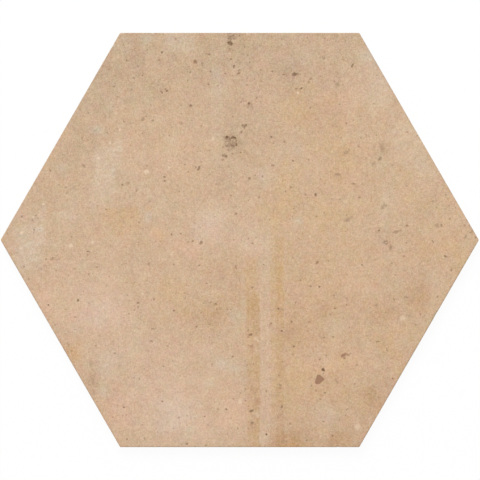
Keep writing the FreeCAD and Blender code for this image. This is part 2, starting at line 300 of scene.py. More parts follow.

# Clouds of stain and tone, by the name of their tint
CLOUDS = {
    "pale": table(
        Patch,
        (30, 245, 15, 26, 0.35), (105, 170, 16, 30, 0.4), (180, 42, 17, 12, 0.25), (368, 55, 14, 14, 0.8),
        (380, 92, 14, 20, 0.5), (405, 135, 14, 24, 0.25), (424, 162, 12, 16, 0.25),
        (262, 176, 8, 10, 0.8), (217, 82, 11, 36, 0.3), (97, 131, 9, 7, 0.4), (64, 214, 14, 10, 0.35),
        (95, 205, 12, 10, 0.2), (210, 222, 19, 18, 1.0), (250, 238, 14, 22, 0.5), (147, 217, 7, 8, 0.3),
        (105, 315, 20, 20, 0.4), (122, 42, 9, 9, 0.4), (203, 350, 13, 10, 0.3), (100, 315, 40, 16, 0.12),
        (360, 285, 22, 16, 0.12), (170, 360, 22, 22, 0.08), (95, 300, 40, 34, 0.25),
        (107, 362, 10, 16, 0.55), (175, 412, 22, 18, 1.0), (180, 405, 60, 45, 0.4),
        (205, 436, 26, 12, 0.35), (226, 366, 18, 11, 0.6), (335, 326, 13, 13, 0.35),
        (326, 411, 14, 13, 0.4), (438, 280, 12, 14, 0.5), (385, 205, 8, 18, 0.3), (297, 150, 7, 7, 0.3),
        (298, 220, 8, 6, 0.3), (400, 250, 9, 9, 0.35), (330, 85, 12, 10, 0.3), (300, 58, 18, 10, 0.3),
        (250, 92, 8, 10, 0.4), (163, 205, 14, 18, 0.35), (132, 340, 11, 18, 0.4), (100, 372, 9, 20, 0.35),
        (160, 430, 16, 10, 0.4), (185, 438, 10, 8, 0.4), (404, 342, 9, 9, 0.35), (465, 240, 8, 10, 0.3),
        (367, 230, 12, 20, 0.25), (330, 362, 26, 14, 0.3), (20, 235, 16, 30, 0.3),
        (80, 325, 12, 10, 0.35), (105, 75, 26, 36, 0.16), (128, 185, 26, 22, 0.15),
        (68, 265, 30, 28, 0.15), (130, 348, 30, 28, 0.1), (355, 62, 22, 24, 0.15),
        (222, 155, 22, 30, 0.14), (102, 322, 32, 26, 0.14), (142, 395, 50, 44, 0.12),
        (215, 236, 26, 18, 0.08),
    ),
    "pink": table(
        Patch,
        (163, 232, 9, 9, 0.5), (186, 249, 17, 12, 0.9), (45, 300, 10, 16, 0.7), (115, 408, 20, 14, 0.8),
        (236, 415, 14, 28, 0.6), (210, 228, 18, 18, 0.5), (250, 240, 12, 22, 0.6), (92, 300, 42, 35, 0.6),
        (170, 405, 60, 40, 0.45), (180, 155, 30, 22, 0.4), (345, 105, 20, 18, 0.3),
        (310, 295, 34, 14, 0.5), (345, 178, 16, 16, 0.4), (328, 362, 26, 13, 0.8),
        (315, 398, 28, 10, 0.4), (50, 315, 10, 12, 0.3), (215, 270, 12, 9, 0.2), (130, 348, 30, 28, 0.2),
        (200, 408, 40, 36, 0.4), (192, 228, 20, 16, 0.2), (280, 434, 16, 14, 0.2),
        (375, 255, 28, 26, 0.3), (222, 363, 9, 8, 0.25), (181, 43, 13, 8, 0.25), (203, 350, 13, 10, 0.8),
        (170, 360, 22, 22, 0.4), (360, 285, 22, 16, 0.3), (100, 315, 40, 16, 0.3),
        (150, 275, 20, 15, 0.25), (456, 246, 20, 28, 0.2), (102, 322, 32, 26, 0.3),
        (142, 395, 50, 44, 0.35), (215, 236, 26, 18, 0.2),
    ),
    "ochre": table(
        Patch,
        (119, 219, 20, 15, 0.15), (298, 108, 18, 16, 0.6), (328, 135, 20, 14, 0.12),
        (330, 215, 20, 26, 0.2), (268, 207, 14, 10, 0.3), (173, 290, 14, 12, 0.5),
        (198, 305, 22, 14, 0.25), (460, 248, 12, 20, 0.4), (400, 338, 19, 14, 0.5),
        (305, 378, 30, 18, 0.35), (345, 362, 14, 10, 0.3), (340, 250, 60, 50, 0.3),
        (72, 350, 12, 13, 0.45), (290, 192, 12, 30, 0.5), (272, 222, 16, 16, 0.35),
        (345, 168, 16, 20, 0.3), (425, 248, 26, 24, 0.3), (388, 352, 10, 10, 0.4),
        (415, 205, 16, 12, 0.2), (290, 250, 8, 24, 0.2), (330, 150, 30, 26, 0.25),
        (440, 290, 22, 20, 0.25),
    ),
    "brown": table(
        Patch,
        (292, 335, 15, 15, 0.6), (287, 438, 21, 13, 1.6), (215, 317, 16, 13, 1.0),
        (205, 303, 24, 16, 0.1), (181, 316, 15, 10, 0.4), (224, 282, 9, 9, 0.35), (214, 268, 14, 10, 0.3),
        (238, 268, 10, 12, 0.35), (236, 300, 8, 14, 0.4), (310, 308, 34, 18, 0.4),
        (380, 312, 15, 12, 0.65), (415, 297, 12, 17, 0.95), (428, 252, 14, 12, 0.35),
        (370, 402, 14, 16, 0.95), (342, 438, 24, 12, 0.9), (282, 410, 16, 16, 0.35),
        (325, 320, 12, 22, 0.25), (350, 385, 70, 60, 0.1), (315, 398, 28, 10, 0.45),
        (338, 408, 8, 8, 0.4), (327, 112, 17, 34, 0.45), (360, 300, 80, 40, 0.15), (92, 382, 7, 12, 0.8),
        (75, 350, 8, 12, 0.25), (226, 285, 24, 18, 0.16), (288, 205, 26, 24, 0.1),
        (262, 410, 12, 12, 0.12), (202, 42, 7, 9, 0.5),
    ),
    "grey": table(
        Patch,
        # The first grey patch makes the face darker and greyer towards the top
        (240, 40, 200, 45, 1.0), (132, 46, 20, 16, 0.6), (108, 72, 13, 16, 0.9), (140, 100, 34, 14, 0.35),
        (163, 90, 12, 10, 0.4), (290, 73, 16, 10, 0.6), (85, 115, 30, 45, 0.8), (62, 168, 16, 14, 0.5),
        (45, 195, 16, 14, 0.3), (240, 132, 26, 26, 0.6), (240, 115, 75, 90, 0.35),
        (135, 62, 18, 12, 0.25), (140, 98, 18, 12, 0.5), (82, 152, 14, 16, 0.5), (25, 245, 30, 40, 0.5),
        (222, 178, 16, 18, 0.5), (385, 238, 11, 14, 0.9), (378, 158, 12, 14, 0.4),
        (425, 212, 14, 12, 0.25), (95, 388, 8, 12, 0.5), (150, 218, 8, 9, 0.5), (105, 75, 26, 36, 0.2),
        (128, 185, 26, 22, 0.15), (72, 168, 30, 38, 0.26), (108, 98, 28, 24, 0.2),
        (140, 70, 13, 12, 0.55), (120, 198, 20, 9, 0.3), (333, 142, 13, 11, 0.15),
    ),
    "warm": table(
        Patch,
        # Several of these patches, such as those at (285, 446), (400, 370) and (102, 412), lie along the
        # lower edges and warm them
        (78, 350, 7, 12, 0.15), (285, 446, 28, 4, 0.5), (400, 370, 8, 18, 0.25), (102, 412, 8, 14, 0.2),
        (159, 233, 5, 6, 0.5), (151, 207, 4, 3, 0.5), (322, 345, 62, 58, 0.2), (385, 172, 36, 44, 0.14),
        (200, 408, 40, 36, 0.1), (456, 246, 20, 28, 0.15), (342, 402, 26, 22, 0.08),
        (428, 308, 9, 8, 0.15), (181, 43, 13, 8, 0.12), (322, 405, 16, 8, 0.1),
    ),
    "mint": table(
        Patch,
        (222, 363, 6, 5, 0.75), (237, 371, 5, 6, 0.7), (207, 387, 5, 4, 0.8), (236, 314, 6, 8, 0.95),
        (102, 388, 6, 8, 0.6), (108, 108, 5, 5, 0.5), (98, 130, 7, 5, 0.6), (145, 40, 8, 7, 0.5),
        (60, 168, 6, 6, 0.5), (298, 220, 6, 5, 0.4), (380, 167, 7, 8, 0.5), (385, 192, 5, 8, 0.4),
        (335, 326, 12, 12, 0.4), (324, 410, 12, 11, 0.35),
    ),
}

# Stains that ran straight down the face, by the name of their tint
DRIPS = {
    "ochre": table(
        Stretch,
        (104, 140, 207, 237, 0.26, 5), (245.5, 256.5, 258, 300, 0.55, 2, 2.5, 5),
        (246.5, 259.6, 298, 455, 0.36, 2, 0.9, 6), (270.8, 284, 236, 322, 0.43, 1.2, 1.6, 6),
        (276, 284, 335, 410, 0.33, 1.5, 1.6, 8), (277, 283.5, 240, 296, 0.35, 2, 1.5, 6),
        (271.5, 276, 335, 402, 0.3, 1, 2, 6), (284, 300, 345, 425, 0.2, 1, 6, 10),
    ),
    "brown": table(
        Stretch,
        (245.5, 256.5, 258, 298, 0.1, 2, 2.5, 5), (246.5, 259.6, 296, 336, 0.8, 2, 0.9, 5),
        (248, 259.6, 336, 378, 0.38, 2, 0.9, 6), (248, 259.6, 378, 455, 0.55, 2, 0.9, 6),
        (275.5, 283.5, 238, 272, 0.38, 2, 1.5, 6), (276, 284, 280, 455, 0.4, 2, 0.9, 6),
        (287, 293.5, 324, 343, 0.3, 1.5, 1.5, 3), (106, 141, 206, 222, 0.3, 4),
        (119, 141, 222, 238, 0.25, 4),
    ),
    "pink": table(
        Stretch,
        (260.2, 270.4, 290, 455, 0.5, 1, 1.5, 14),
    ),
    "pale": table(
        Stretch,
        (164, 194.6, 28, 51.8, 0.38, 6, 0.6, 0.6), (211, 222, 64, 136, 0.3, 2, 4, 10),
        (260.2, 270.4, 225, 455, 0.4, 1, 1.5, 14), (283.9, 285.1, 303, 326, 0.6, 0.4, 0.4, 1),
        (283.9, 285.1, 380, 402, 0.4, 0.4, 0.4, 2),
    ),
}

# Blooms of pale salts, which lie as fine flecks and end along straight sides
BLOOMS = table(
    Stretch,
    (166, 194.5, 30, 51.6, 0.5, 4, 0.7, 0.8), (142, 151, 34, 46, 0.35), (93, 116, 147, 192, 0.8, 4, 2.5),
    (114, 122.3, 132, 170, 0.7, 3, 0.7), (96, 105, 126, 136, 0.4), (90, 115, 190, 212, 0.3, 3, 3),
    (58, 68, 164, 175, 0.4), (54, 72, 211, 220, 0.6, 3, 3, 2), (14, 42, 226, 268, 0.85, 4, 3),
    (29, 43, 214, 262, 0.3, 3, 1), (39, 46, 204, 244, 0.8, 3, 0.7),
    (145, 152, 211, 222, 0.9, 0.8, 0.8, 1), (387.3, 425, 118, 170, 0.5, 0.8, 8, 8),
    (404, 440, 158, 188, 0.25, 6, 6, 8), (366, 392, 48, 108, 0.5, 6, 6, 10),
    (380.5, 388.3, 197, 248, 0.5, 1.5, 0.8, 6), (293, 301, 145, 154, 0.35), (293, 302, 217, 223, 0.4),
    (210, 276, 53.2, 54.4, 0.3, 2, 2, 0.4),
)

# Unevenness of the face, and how its stains wander, the same on each run
UNDULATION = 0.12 * MM
UNDULATION_SIZES = [(58 * MM, 0.6), (23 * MM, 0.3), (9 * MM, 0.1)]
UNDULATION_SHIFT = 6.4
CLOUD_WARPS = [(26 * MM, 3.5 * MM), (8 * MM, 1.8 * MM)]
CLOUD_WARP_SHIFTS = (3.7, 21.3)
CLOUD_FALL = 1.1
CLOUD_FALL_POWER = 2.4
STRETCH_RAGGED = (4 * MM, 61.0, 2.0)
STRETCH_RAGGEDNESS = 3.2 * MM
DRIP_LINES = (1.4 * MM, 62.0, 1.0)
DRIP_LINE_STRETCH = 0.14
DRIP_LINE_STRENGTH = 1.8
FLECKS = (2.0 * MM, 63.0, 2.5)
FLECK_RANGE = (0.47, 0.62)
FLECK_STRENGTH = 0.95
BLOOM_EVEN = 0.45

# How deep marks are cut
PIT_DEPTH_SHARE = 0.17
PIT_DEEPEST = 0.5 * MM
NICK_DEPTH = 0.16 * MM
RUST_DEPTH = 0.05 * MM
CHIP_DEPTH = 0.14 * MM
CRUST_DEPTH = 0.22 * MM
CRUST_ROUGHNESS = 0.16 * MM
CRUST_GRAIN = (1.3 * MM, 8.1)
MARK_RAGGEDNESS = 0.5
MARK_GRAIN = (1.2 * MM, 4.9)

# Where a mark ends and where it is full, as ratios of its oval: first its colour, then its relief
PIT_FADE = (1.15, 0.65)
RUST_FADE = (1.2, 0.75)
SMUDGE_FADE = (1.35, 0.4)
PALE_GRAIN_AND_HIGHLIGHT_FADE = (1.2, 0.6)
PIT_WALL = (1.1, 0.45)
SHALLOW_WALL = (1.1, 0.4)
CRUST_WALL = (1.15, 0.7)
NIBBLE_WALL = (1.1, 0.5)

# Small pits scattered over the whole face
SCATTERED_COUNT = 210
SCATTERED_WIDTHS = (1.2, 2.2)
SCATTERED_MOSTLY_SMALL = 2
SCATTERED_STRETCHES = (1, 1.6)
SCATTERED_DARKS = (0.12, 0.42)
SCATTERED_MARGIN = 3 * MM

# Small nibbles out of the arris
NIBBLE_COUNT = 16
NIBBLE_SIZES = (0.5 * MM, 1.3 * MM)
NIBBLE_PLACES = (0.04, 0.96)
NIBBLE_DEPTH = 0.28 * MM

# Where the face's coat ends on the walls
COAT_END = 2.4 * MM
COAT_WANDER = 0.9 * MM
COAT_WANDER_NOISE = (7 * MM, 2.2)
COAT_FADE = 0.5 * MM

# The layout of the map that the finish is baked to
FACE_SCALE = 0.76 / (part_high.x - part_low.x)
BACK_SCALE = 0.37 / (part_high.x - part_low.x)
FACE_CORNER = (0.006, 0.335)
BACK_CORNER = (0.006, 0.006)
STRIP_CORNER = (0.79, 0.3)
STRIP_PITCH = 0.032


class Tint(NamedTuple):
    """A tint's offset from the face's colour, in eight-bit steps, and the size of what breaks it up."""

    steps: tuple
    break_size: float


class Grain(NamedTuple):
    """One size of mottling: how far it swings lighter, warmer and rosier, in eight-bit steps."""

    size: float
    light: float
    warm: float
    rosy: float
    seed: float


class Speck(NamedTuple):
    """Scattered specks: their pattern's cell, how large and how common they are, their tint and depth."""

    cell: float
    radius: float
    share: float
    seed: float
    steps: tuple
    depth: float


# Colours in linear light. A tint is an offset from the face's colour in eight-bit steps of it
BASE = (0.631, 0.4385, 0.287)
LEVEL = (0.0068, 0.0055, 0.0043)
LIGHT_STEPS = (0.95, 1.03, 1.03)
WARM_STEPS = (0.45, -0.05, -0.55)
ROSY_STEPS = (0.3, -0.55, 0.25)
BLOOM_STEPS = (4.7, 9.5, 13)
TINTS = {
    "pale": Tint((2.5, 8.5, 13), 6 * MM),
    "pink": Tint((6, 2, 4), 7 * MM),
    "ochre": Tint((0.5, -2.5, -12), 5 * MM),
    "brown": Tint((-8, -11, -13), 6 * MM),
    "grey": Tint((-8, -6, -5), 8 * MM),
    "warm": Tint((4, -4, -16), 3 * MM),
    "mint": Tint((-1, 8, 10), 2 * MM),
}
CLOUD_BREAK_DETAIL = 3.0
CLOUD_BREAK_STRENGTH = 1.5
CLOUD_STRENGTH = 1.1
GRAINS = table(
    Grain,
    (0.9 * MM, 51, 12.5, 13.5, 11.0),
    (1.7 * MM, 30, 11, 10, 12.0),
    (3.3 * MM, 14, 13.5, 12, 13.0),
    (6.5 * MM, 12.5, 13, 10, 14.0),
    (13 * MM, 9.5, 7, 4, 15.0),
    (27 * MM, 4, 3, 1, 16.0),
)
WARMTH_SIZE = 1.3
WARMTH_SEED = 0.5
ROSINESS_SEED = 0.25
SPECK_SPREAD = 3
SPECKS = table(
    Speck,
    (1.7 * MM, 0.5 * MM, 0.45, 21.0, (-14, -14, -13), 0.5),
    (2.9 * MM, 0.6 * MM, 0.4, 24.0, (-27, -27, -25), 0.8),
    (5.2 * MM, 0.9 * MM, 0.6, 22.0, (-32, -33, -31), 1.0),
    (3.4 * MM, 0.6 * MM, 0.3, 23.0, (10, 11, 12), -0.3),
)
SMUDGE_BREAKS = (1.3 * MM, 26.0, 2.0)
PIT_BREAKS = (1.2 * MM, 27.0, 1.0)
PIT_BREAK_STRENGTH = 1.6
PIT_STRENGTH = 1.05
SMUDGE_RANGE = (0.33, 0.52)
SMUDGE_STRENGTH = 1.35
# Painted shade: a faint darker line all round the arris, in eight-bit steps, and how far in from the edge
# it starts
ARRIS_PAINTED_SHADE = (-4, -5, -5)
ARRIS_SHADE_REACH = 1.5 * MM
PIT_COLOUR = (0.205, 0.115, 0.06)
RUST_COLOUR = (0.37, 0.195, 0.12)
SMUDGE_COLOUR = (0.35, 0.232, 0.142)
PALE_GRAIN_AND_HIGHLIGHT_COLOUR = (0.81, 0.61, 0.43)

# The body under the face's coat
BODY = (0.60, 0.475, 0.345)
BODY_GRAINS = table(
    Grain,
    (0.9 * MM, 30, 6, 6, 41.0),
    (3 * MM, 20, 8, 6, 42.0),
    (18 * MM, 18, 10, 3, 43.0),
    (60 * MM, 18, 10, 2, 44.0),
)
BODY_SPECKS = table(
    Speck,
    (2.2 * MM, 0.5 * MM, 0.4, 45.0, (-30, -32, -32), 0.5),
    (7 * MM, 1.0 * MM, 0.5, 46.0, (-26, -44, -50), 0.5),
)
WASH_HEIGHT = 0.25 * MM
WASH_TRACES = (16 * MM, 47.0, 3.0)
WASH_RANGE = (0.5, 0.66)
WASH_STRENGTH = 0.45
WASH_COLOUR = (0.74, 0.70, 0.64)
NIBBLE_FRESHNESS = 0.6

# Gloss and the finest relief
ROUGHNESS = 0.8
ROUGHNESS_SWING = 0.35
ROUGHNESS_NOISE = (4 * MM, 31.0, 3.0)
SHEEN = 0.35
BUMP_FINE = (0.7 * MM, 51.0)
BUMP_COARSE = (2.6 * MM, 52.0)
BUMP_FINE_SHARE = 0.5
BUMP_DISTANCE = 0.08 * MM

# Floor, lights and camera
WHITE = (1, 1, 1)
FLOOR_SIZE = 6.0
FLOOR_GREY = 0.8
FLOOR_SHADOW = 0.06
WORLD_LIGHT = 0.56
LAMP_POWER = 52
LAMP_SIZE = 1.4
LAMP_DISTANCE = 3.0
LAMP_HEIGHT = math.radians(50)
LAMP_SIDE = math.radians(-15)
CAMERA_LENS = 200
CAMERA_SENSOR = 36


def in_light(steps):
    """An offset in linear light from one in eight-bit steps."""
    return tuple(step * level for step, level in zip(steps, LEVEL))


def direction(angle):
    """The unit vector at an angle from +X."""
    return np.array([math.cos(angle), math.sin(angle)])


def smooth_step(low, high, values):
    """0 below low, 1 above high and a smooth rise between; low may also be the greater."""
    share = np.clip((values - low) / (high - low), 0, 1)
    return share * share * (3 - 2 * share)


def on_tile(across, down):
    """The place on the tile of a point of the photograph."""
    return np.array([across - TILE_MIDDLE[0], TILE_MIDDLE[1] - down]) * PIXEL


def noise_at(points, size, shift):
    """Smooth noise from about -1 to 1, whose features are about that size."""
    offset = Vector((shift, -shift, NOISE_APART * shift))
    return np.array([noise.noise(Vector(point) / size + offset) for point in points])


class Hexagon:
    """Points round a hexagon with rounded corners, anticlockwise, which every row of a section shares."""

    def __init__(self, apothem, corner_radius, corner_steps, side_steps, first_corner):
        self.corner_radius = corner_radius
        self.corner_steps = corner_steps
        self.side_steps = side_steps
        reach = (apothem - corner_radius) / math.cos(SIDE_ANGLE / 2)
        anchors = []
        normals = []
        for corner in range(SIDES):
            angle = first_corner + corner * SIDE_ANGLE
            start = direction(angle) * reach
            end = direction(angle + SIDE_ANGLE) * reach
            for step in range(corner_steps + 1):
                anchors.append(start)
                normals.append(direction(angle + SIDE_ANGLE * (step / corner_steps - 0.5)))
            for step in range(1, side_steps):
                anchors.append(start + (end - start) * step / side_steps)
                normals.append(direction(angle + SIDE_ANGLE / 2))
        self.anchors = np.array(anchors)
        self.normals = np.array(normals)

    def row(self, inset, height, middle=(0, 0)):
        """The points that lie inset from the outline, at one height."""
        flat = self.anchors + (self.corner_radius - inset) * self.normals + np.array(middle)
        return np.column_stack([flat, np.full(len(flat), height)])


class Shape:
    """Points and faces of the mesh while it is put together."""

    def __init__(self):
        self.points = []
        self.faces = []

    def add_points(self, points):
        """Adds points and returns their numbers."""
        first = len(self.points)
        self.points.extend(tuple(point) for point in points)
        return list(range(first, len(self.points)))

    def add_band(self, lower, upper, outward=True):
        """Quads between two closed rows. Outward is away from the middle."""
        count = len(lower)
        for here in range(count):
            after = (here + 1) % count
            quad = (lower[here], lower[after], upper[after], upper[here])
            self.faces.append(quad if outward else quad[::-1])


def wall_section():
    """The section of the wall and arris as (inset, height), from the back's edge up to the face."""
    lean = math.tan(WALL_DRAFT)
    chamfer_top = BACK_CHAMFER * math.cos(WALL_DRAFT)
    section = [(BAND_FOOT * lean + BACK_CHAMFER, 0.0)]
    for step in range(FOOT_STEPS + 1):
        height = chamfer_top + (BAND_FOOT - chamfer_top) * step / FOOT_STEPS
        section.append(((BAND_FOOT - height) * lean, height))
    for step in range(1, BAND_STEPS + 1):
        section.append((0.0, BAND_FOOT + (ARRIS_FOOT - BAND_FOOT) * step / BAND_STEPS))
    for step in range(1, ARRIS_STEPS + 1):
        angle = math.pi / 2 * step / ARRIS_STEPS
        inset = ARRIS_RADIUS * (1 - math.cos(angle))
        section.append((inset, ARRIS_FOOT + ARRIS_RADIUS * math.sin(angle)))
    return section


def recess_section():
    """The section of a recess as (inset, height), from the back's plane round the rim up to the floor."""
    lean = math.tan(RECESS_DRAFT)
    rim_height = RIM_ROUNDING * ROUNDING_RISE
    floor_foot = RECESS_DEPTH - FLOOR_ROUNDING * ROUNDING_RISE
    floor_inset = RECESS_DEPTH * lean
    return [
        (-RIM_ROUNDING, 0.0),
        (-RIM_ROUNDING * ROUNDING_KNEE, rim_height * RIM_KNEE_RISE),
        (rim_height * lean, rim_height),
        (floor_foot * lean, floor_foot),
        (floor_inset + FLOOR_ROUNDING * ROUNDING_KNEE, RECESS_DEPTH - FLOOR_ROUNDING * FLOOR_KNEE_DROP),
        (floor_inset + FLOOR_ROUNDING, RECESS_DEPTH),
    ]


def recess_middles():
    """The middles of the recesses: rings of a triangular pattern round the back's middle."""
    middles = []
    for outward in range(-RECESS_RINGS, RECESS_RINGS + 1):
        for along in range(-RECESS_RINGS, RECESS_RINGS + 1):
            if abs(outward + along) <= RECESS_RINGS:
                middles.append(RECESS_PITCH * (along * direction(0) + outward * direction(SIDE_ANGLE)))
    return middles


def add_face(shape, outline, edge_row):
    """The face: a triangular lattice, with a strip round it that joins it to the arris."""
    step = (APOTHEM - FACE_EDGE) / math.cos(SIDE_ANGLE / 2) / SIDE_STEPS
    number = {}
    points = []
    for i in range(-SIDE_STEPS, SIDE_STEPS + 1):
        for j in range(-SIDE_STEPS, SIDE_STEPS + 1):
            if abs(i + j) <= SIDE_STEPS:
                number[i, j] = len(points)
                points.append((*(step * (i * direction(0) + j * direction(SIDE_ANGLE))), THICKNESS))
    first = shape.add_points(points)[0]
    for i in range(-SIDE_STEPS - 1, SIDE_STEPS):
        for j in range(-SIDE_STEPS - 1, SIDE_STEPS):
            rising = [number.get(place) for place in ((i, j), (i + 1, j), (i, j + 1))]
            falling = [number.get(place) for place in ((i + 1, j), (i + 1, j + 1), (i, j + 1))]
            for triangle in (rising, falling):
                if None not in triangle:
                    shape.faces.append(tuple(first + corner for corner in triangle))
    corners = [(1, 0), (0, 1), (-1, 1), (-1, 0), (0, -1), (1, -1)]
    samples_per_side = outline.corner_steps + outline.side_steps
    for side, (i, j) in enumerate(corners):
        next_i, next_j = corners[(side + 1) % SIDES]
        start = side * samples_per_side
        corner_point = first + number[i * SIDE_STEPS, j * SIDE_STEPS]
        for turn in range(outline.corner_steps):
            shape.faces.append((edge_row[start + turn], edge_row[start + turn + 1], corner_point))
        for along in range(SIDE_STEPS):
            place = (i * SIDE_STEPS + (next_i - i) * along, j * SIDE_STEPS + (next_j - j) * along)
            after = (place[0] + next_i - i, place[1] + next_j - j)
            outer = start + outline.corner_steps + along
            outer_after = (outer + 1) % len(edge_row)
            inner = first + number[place]
            inner_after = first + number[after]
            shape.faces.append((edge_row[outer], edge_row[outer_after], inner_after, inner))


def loop_edges(first, count):
    """The edges of a closed loop of points, by their numbers."""
    return [(first + step, first + (step + 1) % count) for step in range(count)]


def add_back(shape, edge_row):
    """The back: recesses with rounded rims, and the plane between them and the tile's edge."""
    half_recess = (RECESS_PITCH - RECESS_RIB) / 2
    outline = Hexagon(half_recess, RECESS_CORNER, RECESS_CORNER_STEPS, RECESS_SIDE_STEPS, SIDE_ANGLE / 2)
    plane_points = [Vector(shape.points[number][:2]) for number in edge_row]
    plane_numbers = list(edge_row)
    plane_edges = loop_edges(0, len(edge_row))
    recess_of = [None] * len(edge_row)
    for recess, middle in enumerate(recess_middles()):
        rows = []
        for inset, height in recess_section():
            rows.append(shape.add_points(outline.row(inset, height, middle)))
        for lower, upper in zip(rows, rows[1:]):
            shape.add_band(lower, upper, outward=False)
        floor_middle = shape.add_points([(*middle, RECESS_DEPTH)])[0]
        floor_edge = rows[-1]
        for here, after in zip(floor_edge, floor_edge[1:] + floor_edge[:1]):
            shape.faces.append((after, here, floor_middle))
        plane_edges.extend(loop_edges(len(plane_points), len(rows[0])))
        plane_points.extend(Vector(shape.points[number][:2]) for number in rows[0])
        plane_numbers.extend(rows[0])
        recess_of.extend([recess] * len(rows[0]))
    found = delaunay_2d_cdt(plane_points, plane_edges, [], ONLY_INSIDE, SAME_POINT)
    sources = found[3]
    for triangle in found[2]:
        corners = [sources[corner][0] for corner in triangle]
        owners = {recess_of[corner] for corner in corners}
        if len(owners) == 1 and None not in owners:
            continue
        shape.faces.append(tuple(plane_numbers[corner] for corner in corners[::-1]))


def build_shape():
    """The tile's points and faces before its face is made finer."""
    shape = Shape()
    outline = Hexagon(APOTHEM, CORNER_RADIUS, CORNER_STEPS, SIDE_STEPS, 0)
    rows = [shape.add_points(outline.row(inset, height)) for inset, height in wall_section()]
    for lower, upper in zip(rows, rows[1:]):
        shape.add_band(lower, upper)
    add_face(shape, outline, rows[-1])
    add_back(shape, rows[0])
    return shape


class Surface:
    """Points of the tile, with what is needed to find those near a mark quickly."""

    def __init__(self, points, ragged=None):
        self.points = points
        self.ragged = np.zeros(len(points)) if ragged is None else ragged
        self.order = np.argsort(points[:, 0])
        self.sorted_across = points[self.order, 0]

    def near(self, mark, beyond):
        """The numbers of the points near a mark, and the ones further up and down beside them."""
        middle = on_tile(mark.across, mark.down)[0]
        reach = mark.length * PIXEL + beyond
        first, last = np.searchsorted(self.sorted_across, [middle - reach, middle + reach])
        return self.order[first:last]

    def oval_distance(self, mark, chosen):
        """How far the chosen points are from a mark: 1 is on its oval edge. Also the plain distance."""
        away = self.points[chosen, :2] - on_tile(mark.across, mark.down)
        turn = math.radians(mark.turn)
        along = away @ direction(turn)
        aside = away @ direction(turn + math.pi / 2)
        ratio = np.hypot(along / (mark.length * PIXEL / 2), aside / (mark.width * PIXEL / 2))
        return ratio * (1 + MARK_RAGGEDNESS * self.ragged[chosen]), np.hypot(along, aside)

    def add_marks(self, values, marks, strength, fade):
        """Raises the values in each mark to its strength, which is full at the fade's second ratio."""
        for mark in marks:
            chosen = self.near(mark, 0)
            ratio, _ = self.oval_distance(mark, chosen)
            share = strength(mark) * smooth_step(*fade, ratio)
            values[chosen] = np.maximum(values[chosen], share)


def chip_distance(points):
    """The distance outside the chip's outline, negative inside it."""
    corners = [on_tile(*corner) for corner in CHIP_CORNERS]
    middle = sum(corners) / len(corners)
    outside = []
    for start, end in zip(corners, corners[1:] + corners[:1]):
        along = (end - start) / np.linalg.norm(end - start)
        normal = np.array([along[1], -along[0]])
        if (middle - start) @ normal > 0:
            normal = -normal
        outside.append((points[:, :2] - start) @ normal)
    return np.max(outside, axis=0)


def hexagon_distance(points):
    """The distance from the middle to the side of the hexagon through each point."""
    sides = [points[:, :2] @ direction(SIDE_ANGLE * (side + 0.5)) for side in range(SIDES)]
    return np.max(sides, axis=0)


def scattered_pits():
    """Small pits all over the face, the same on each run."""
    draw = np.random.default_rng(SEED)
    narrowest, widest = SCATTERED_WIDTHS
    pits = []
    while len(pits) < SCATTERED_COUNT:
        across, down = draw.uniform(0, PHOTO_SIZE, 2)
        width = narrowest + (widest - narrowest) * draw.random() ** SCATTERED_MOSTLY_SMALL
        stretch = draw.uniform(*SCATTERED_STRETCHES)
        turn = draw.uniform(0, 180)
        dark = draw.uniform(*SCATTERED_DARKS)
        if hexagon_distance(on_tile(across, down)[None])[0] < APOTHEM - SCATTERED_MARGIN:
            pits.append(Mark(across, down, width * stretch, width, dark, turn))
    return pits


def arris_nibbles():
    """Places and sizes of the nibbles along the arris, the same on each run."""
    draw = np.random.default_rng(SEED + 1)
    nibbles = []
    for _ in range(NIBBLE_COUNT):
        angle = SIDE_ANGLE * draw.integers(SIDES)
        corner = direction(angle)
        next_corner = direction(angle + SIDE_ANGLE)
        along = draw.uniform(*NIBBLE_PLACES)
        place = (corner + (next_corner - corner) * along) * APOTHEM / math.cos(SIDE_ANGLE / 2)
        nibbles.append((np.array([*place, THICKNESS]), draw.uniform(*NIBBLE_SIZES)))
    return nibbles


ALL_PITS = [*PITS, *scattered_pits()]
NIBBLES = arris_nibbles()


def wanted_step(points):
    """The size of triangle wanted at each point: small in a mark, and growing away from it."""
    wanted = np.full(len(points), WIDEST_STEP)
    surface = Surface(points)
    for mark in [*ALL_PITS, *NICKS_AND_SHADE_ARCS, *RUST_SPOTS, *SMUDGES, *PALE_GRAINS_AND_HIGHLIGHT, *CRUST_RIM_AND_SHADE, CRUST]:
        chosen = surface.near(mark, GROWTH_REACH)
        ratio, distance = surface.oval_distance(mark, chosen)
        beyond = distance * (1 - 1 / np.maximum(ratio, 1))
        step_inside = max(FINEST_STEP, mark.width * PIXEL / STEPS_ACROSS_PIT)
        wanted[chosen] = np.minimum(wanted[chosen], step_inside + STEP_GROWTH * beyond)
    wanted = np.minimum(wanted, FINEST_STEP + STEP_GROWTH * np.abs(chip_distance(points)))
    for place, size in NIBBLES:
        beyond = np.maximum(np.linalg.norm(points - place, axis=1) - size, 0)
        wanted = np.minimum(wanted, FINEST_STEP + STEP_GROWTH * beyond)
    return wanted


